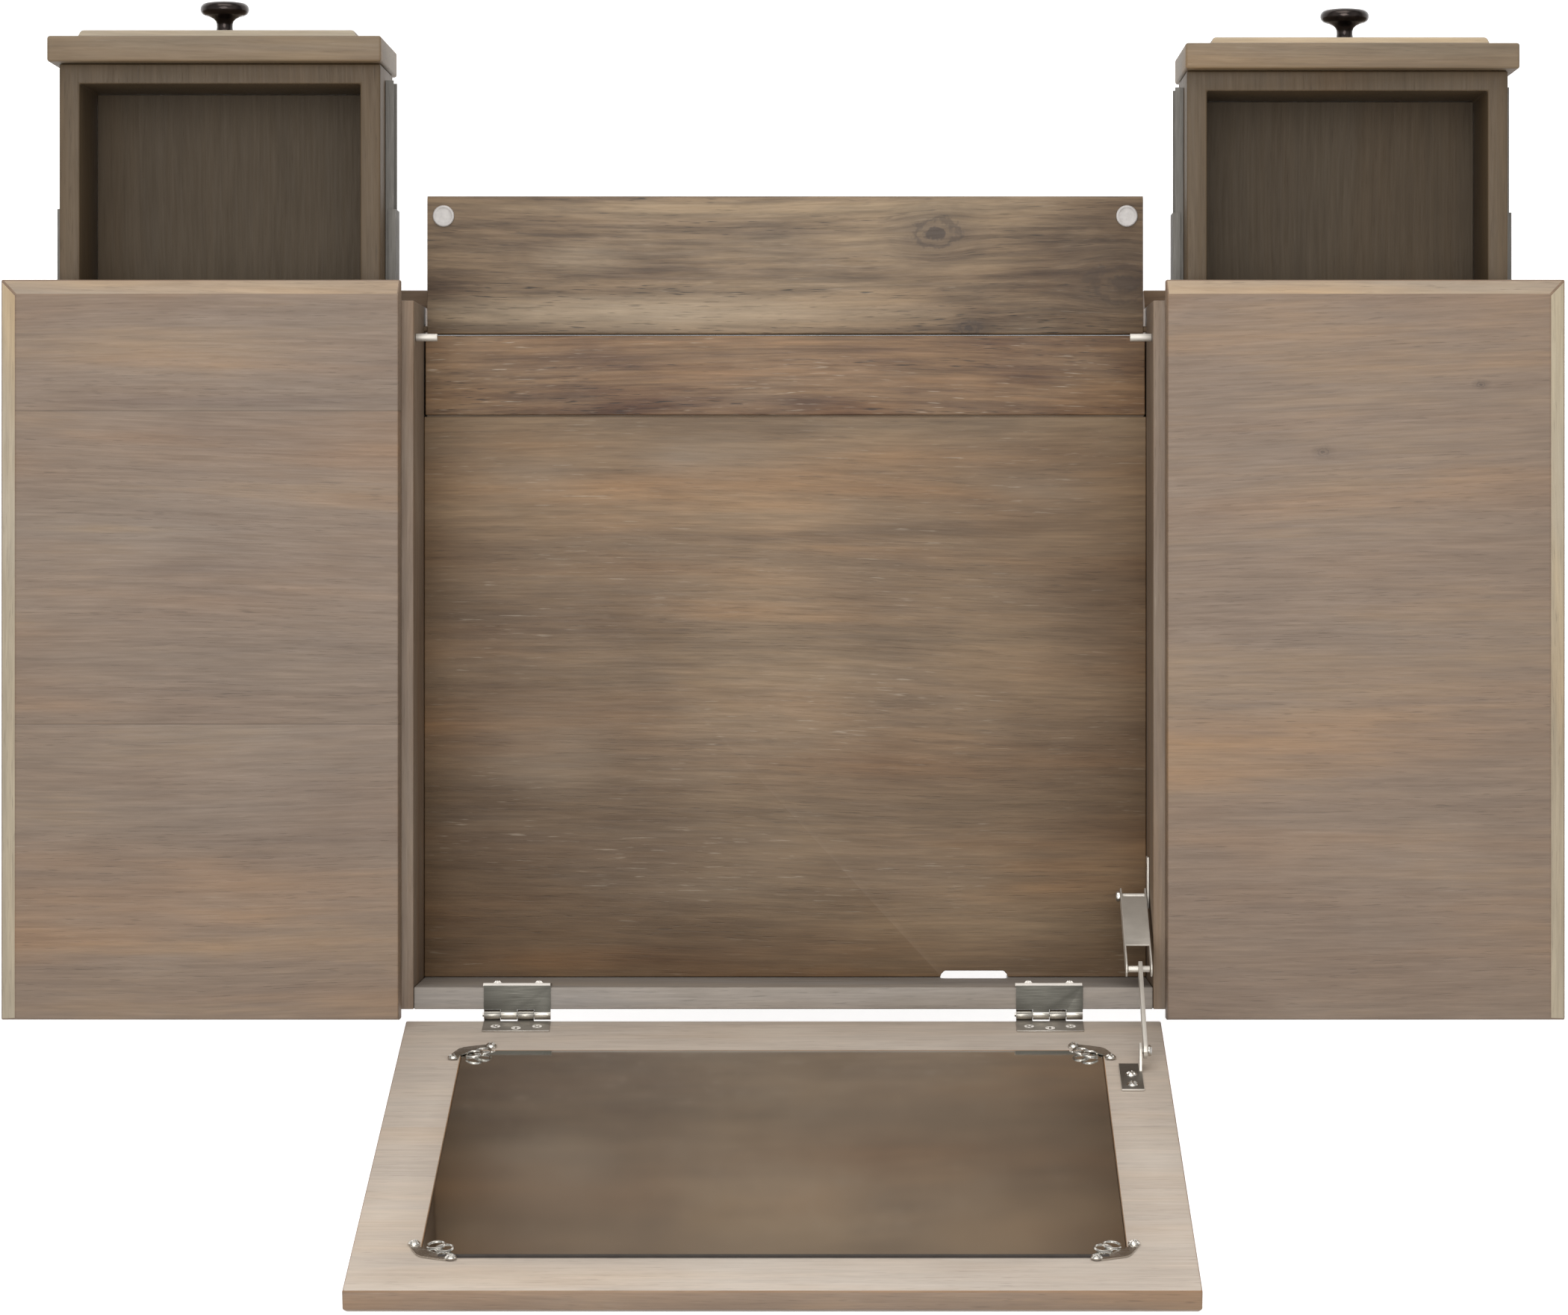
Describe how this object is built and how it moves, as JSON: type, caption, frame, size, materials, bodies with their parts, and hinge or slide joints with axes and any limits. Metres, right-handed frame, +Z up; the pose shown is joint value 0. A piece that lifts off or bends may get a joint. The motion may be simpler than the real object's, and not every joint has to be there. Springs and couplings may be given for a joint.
{
  "type": "flip-top dressing table desk",
  "caption": "Desk with drawer pedestals on tapered legs, and a middle compartment under a lid that carries a mirror, closed in front by a drop flap.",
  "frame": {"origin": "on the ground under the middle of the desk's box, with the lid open, the flap down and the drawers out", "axes": "+Z up, +X to the sitter's right, +Y from the sitter towards the lid's hinges"},
  "size_m": [1.2, 0.9478, 1.2814],
  "materials": {
    "top_wood": "grey-brown washed solid wood, satin",
    "inner_wood": "darker brown washed wood, satin",
    "drawer_wood": "dark stained wood, matt",
    "nickel": "nickel-plated steel",
    "dark_bronze": "near-black bronze, satin",
    "mirror_glass": "silvered glass",
    "bumper": "pale soft pad"
  },
  "bodies": {
    "case": {"left_top": "top_wood", "right_top": "top_wood", "left_base_board": "top_wood", "right_base_board": "top_wood", "left_outer_side": "top_wood", "right_outer_side": "top_wood", "left_filler_stile": "top_wood", "right_filler_stile": "top_wood", "front_left_leg": "top_wood", "front_right_leg": "top_wood", "rear_left_leg": "top_wood", "rear_right_leg": "top_wood", "left_inner_side": "inner_wood", "right_inner_side": "inner_wood", "left_back_panel": "inner_wood", "right_back_panel": "inner_wood", "rear_rail": "inner_wood", "compartment_floor": "inner_wood", "floor_front_strip": "inner_wood", "floor_bearers": "inner_wood", "left_stop_pin": "nickel", "right_stop_pin": "nickel", "left_hinge_case_leaf": "nickel", "right_hinge_case_leaf": "nickel", "stay_wall_bracket": "nickel", "left_inner_slide_case_member": "nickel", "left_outer_slide_case_member": "nickel", "right_inner_slide_case_member": "nickel", "right_outer_slide_case_member": "nickel"},
    "lid": {"lid_board": "top_wood", "mirror": "mirror_glass", "left_lower_clip": "nickel", "right_lower_clip": "nickel", "left_upper_clip": "nickel", "right_upper_clip": "nickel", "left_hinge_lid_leaf": "nickel", "right_hinge_lid_leaf": "nickel", "stay_lid_bracket": "nickel"},
    "flap": {"flap_board": "inner_wood", "left_flap_bumper": "bumper", "right_flap_bumper": "bumper"},
    "left_drawer": {"left_drawer_front": "top_wood", "left_drawer_box": "drawer_wood", "left_drawer_bottom": "drawer_wood", "left_knob": "dark_bronze", "left_inner_slide_drawer_member": "nickel", "left_outer_slide_drawer_member": "nickel"},
    "right_drawer": {"right_drawer_front": "top_wood", "right_drawer_box": "drawer_wood", "right_drawer_bottom": "drawer_wood", "right_knob": "dark_bronze", "right_inner_slide_drawer_member": "nickel", "right_outer_slide_drawer_member": "nickel"},
    "left_slide_mid": {"left_inner_slide_mid_member": "nickel", "left_outer_slide_mid_member": "nickel"},
    "right_slide_mid": {"right_inner_slide_mid_member": "nickel", "right_outer_slide_mid_member": "nickel"},
    "stay_lower": {"stay_lower_link": "nickel"},
    "stay_upper": {"stay_upper_link": "nickel"}
  },
  "joints": [
    {"name": "lid_hinge", "type": "hinge", "parent": "case", "child": "lid", "pos_m": [0, 0.31407, 0.737], "axis": [1, 0, 0], "range_deg": [0, 104.25]},
    {"name": "flap_hinge", "type": "hinge", "parent": "case", "child": "flap", "pos_m": [0, -0.21843, 0.63], "axis": [-1, 0, 0], "range_deg": [0, 90]},
    {"name": "left_drawer_slide", "type": "slide", "parent": "case", "child": "left_drawer", "axis": [0, 1, 0], "range_m": [-0.15, 0.1956]},
    {"name": "right_drawer_slide", "type": "slide", "parent": "case", "child": "right_drawer", "axis": [0, 1, 0], "range_m": [-0.15, 0.2011]},
    {"name": "left_mid_slide", "type": "slide", "parent": "case", "child": "left_slide_mid", "axis": [0, 1, 0], "range_m": [-0.0751, 0.0979]},
    {"name": "right_mid_slide", "type": "slide", "parent": "case", "child": "right_slide_mid", "axis": [0, 1, 0], "range_m": [-0.0751, 0.1007]},
    {"name": "stay_wall_pivot", "type": "hinge", "parent": "case", "child": "stay_lower", "pos_m": [-0.2725, 0.22667, 0.672], "axis": [1, 0, 0], "range_deg": [-0.1, 113.1]},
    {"name": "stay_lid_pivot", "type": "hinge", "parent": "lid", "child": "stay_upper", "pos_m": [-0.2735, 0.33219, 0.84898], "axis": [1, 0, 0], "range_deg": [-129.7, 0.1]}
  ],
  "couplings": [
    {"joint": "left_mid_slide", "follows": "left_drawer_slide", "ratio": 0.5},
    {"joint": "right_mid_slide", "follows": "right_drawer_slide", "ratio": 0.5},
    {"joint": "stay_wall_pivot", "follows": "lid_hinge", "ratio": 1.0837},
    {"joint": "stay_lid_pivot", "follows": "lid_hinge", "ratio": -1.243}
  ]
}
